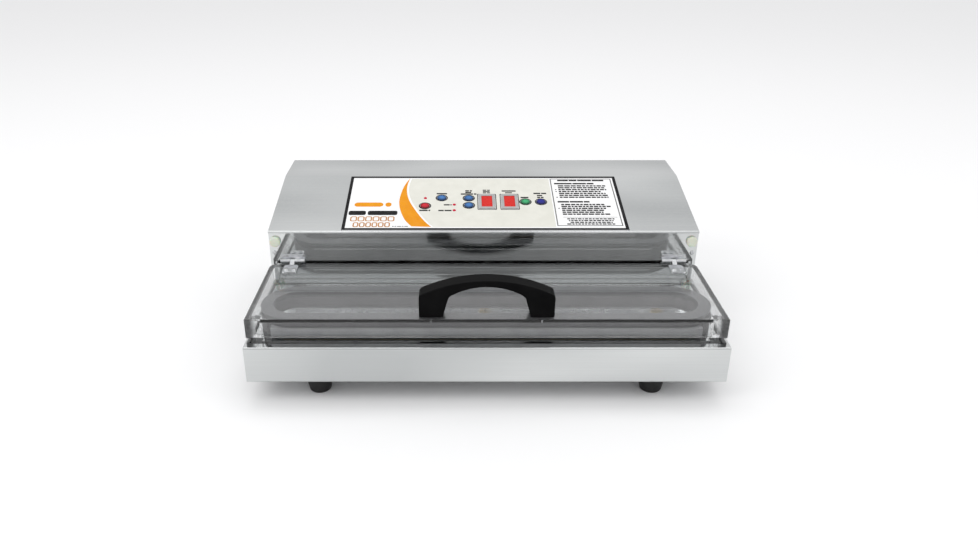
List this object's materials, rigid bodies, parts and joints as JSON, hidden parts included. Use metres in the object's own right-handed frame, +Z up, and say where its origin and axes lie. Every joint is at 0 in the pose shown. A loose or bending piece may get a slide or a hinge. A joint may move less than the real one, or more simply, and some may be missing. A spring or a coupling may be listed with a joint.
{
  "type": "vacuum sealer",
  "caption": "Countertop vacuum sealer: stainless case with a sloped control tower, a clear hinged lid with a bow handle, an oval gasket over a trough, and a pump and fan inside.",
  "frame": {"origin": "centre of the underside, level with the bottoms of the feet", "axes": "+X to the user's right, +Y to the back, +Z up"},
  "size_m": [0.485, 0.335, 0.151],
  "materials": {
    "polished_steel": "bright polished stainless sheet",
    "trough_steel": "satin pressed stainless",
    "back_steel": "satin stainless",
    "hinge_steel": "bright plated",
    "screw_steel": "plated",
    "clear_plastic": "clear moulded polycarbonate",
    "carrier_grey": "moulded",
    "gasket_rubber": "closed-cell foam rubber",
    "silicone_grey": "silicone",
    "handle_black": "fine textured",
    "foot_rubber": "moulded",
    "bumper_nylon": "translucent nylon",
    "seal_bar_black": "heat-proof laminate",
    "heater_alloy": "ribbon",
    "tape_tan": "coated glass cloth",
    "label_white": "printed film",
    "bezel_grey": "moulded",
    "lens_red": "tinted window",
    "led_red": "moulded lens",
    "button_red": "moulded",
    "button_blue": "moulded",
    "button_green": "moulded",
    "button_navy": "moulded",
    "board_green": "circuit board",
    "part_black": "moulded",
    "post_nylon": "moulded nylon",
    "core_steel": "varnished laminations",
    "winding_copper": "enamelled wire",
    "pump_alloy": "cast",
    "motor_steel": "black coated",
    "shaft_steel": "ground",
    "hose_clear": "silicone tube",
    "port_brass": "turned",
    "guard_wire": "plated wire"
  },
  "bodies": {
    "base": {"board_standoffs": "post_nylon", "bottom_plate": "back_steel", "case_screws": "screw_steel", "control_board": "board_green", "control_overlay": "label_white", "deck_shell": "polished_steel", "display_bezels": "bezel_grey", "display_lenses": "lens_red", "display_modules": "part_black", "fan_frame": "part_black", "fan_guard": "guard_wire", "foot_front_left": "foot_rubber", "foot_front_right": "foot_rubber", "foot_rear_left": "foot_rubber", "foot_rear_right": "foot_rubber", "heater_tape_cover": "tape_tan", "heating_strip": "heater_alloy", "hinge_bracket_left": "hinge_steel", "hinge_bracket_right": "hinge_steel", "hinge_pins": "hinge_steel", "indicator_leds": "led_red", "inlet_pins": "port_brass", "lid_bumper_left": "bumper_nylon", "lid_bumper_right": "bumper_nylon", "lower_gasket": "gasket_rubber", "power_inlet": "part_black", "pump_block_left": "pump_alloy", "pump_block_right": "pump_alloy", "pump_motor": "motor_steel", "rear_panel": "back_steel", "release_valve": "motor_steel", "seal_bar": "seal_bar_black", "side_panel_left": "polished_steel", "side_panel_right": "polished_steel", "tact_switches": "part_black", "top_cover": "polished_steel", "transformer_coil": "winding_copper", "transformer_core": "core_steel", "trough_ports": "port_brass", "vacuum_hose": "hose_clear", "vacuum_trough": "trough_steel"},
    "lid": {"lid_shell": "clear_plastic", "gasket_carrier": "carrier_grey", "upper_gasket": "gasket_rubber", "pressure_bar": "silicone_grey", "handle": "handle_black", "lid_screws": "screw_steel", "hinge_strap_left": "hinge_steel", "hinge_strap_right": "hinge_steel"},
    "fan_rotor": {"fan_rotor": "part_black"},
    "pump_rotor": {"pump_rotor": "shaft_steel"},
    "piston_left": {"pump_piston_left": "pump_alloy"},
    "piston_right": {"pump_piston_right": "pump_alloy"},
    "button_manual_seal": {"button_manual_seal": "button_navy"},
    "button_mode": {"button_mode": "button_blue"},
    "button_power": {"button_power": "button_red"},
    "button_start": {"button_start": "button_green"},
    "button_time_down": {"button_time_down": "button_blue"},
    "button_time_up": {"button_time_up": "button_blue"}
  },
  "joints": [
    {"name": "lid_hinge", "type": "hinge", "parent": "base", "child": "lid", "pos_m": [0, -0.0187, 0.0905], "axis": [-1, 0, 0], "range_deg": [0, 95]},
    {"name": "fan_spin", "type": "hinge", "parent": "base", "child": "fan_rotor", "pos_m": [0.15, 0.1525, 0.0855], "axis": [0, 1, 0], "continuous": true},
    {"name": "pump_spin", "type": "hinge", "parent": "base", "child": "pump_rotor", "pos_m": [0.005, 0.0825, 0.061], "axis": [1, 0, 0], "continuous": true},
    {"name": "piston_right_slide", "type": "slide", "parent": "base", "child": "piston_right", "axis": [0, 0, 1], "range_m": [-0.01, 0]},
    {"name": "piston_left_slide", "type": "slide", "parent": "base", "child": "piston_left", "axis": [0, 0, 1], "range_m": [0, 0.01]},
    {"name": "manual_seal_press", "type": "slide", "parent": "base", "child": "button_manual_seal", "axis": [0, 0.2087, -0.978], "range_m": [0, 0.0005], "stiffness_N_per_m": 1500, "springref_m": -0.0004},
    {"name": "mode_press", "type": "slide", "parent": "base", "child": "button_mode", "axis": [0, 0.2087, -0.978], "range_m": [0, 0.0005], "stiffness_N_per_m": 1500, "springref_m": -0.0004},
    {"name": "power_press", "type": "slide", "parent": "base", "child": "button_power", "axis": [0, 0.2087, -0.978], "range_m": [0, 0.0005], "stiffness_N_per_m": 1500, "springref_m": -0.0004},
    {"name": "start_press", "type": "slide", "parent": "base", "child": "button_start", "axis": [0, 0.2087, -0.978], "range_m": [0, 0.0005], "stiffness_N_per_m": 1500, "springref_m": -0.0004},
    {"name": "time_down_press", "type": "slide", "parent": "base", "child": "button_time_down", "axis": [0, 0.2087, -0.978], "range_m": [0, 0.0005], "stiffness_N_per_m": 1500, "springref_m": -0.0004},
    {"name": "time_up_press", "type": "slide", "parent": "base", "child": "button_time_up", "axis": [0, 0.2087, -0.978], "range_m": [0, 0.0005], "stiffness_N_per_m": 1500, "springref_m": -0.0004}
  ],
  "couplings": [
    {"joint": "piston_left_slide", "follows": "piston_right_slide", "ratio": -1}
  ]
}
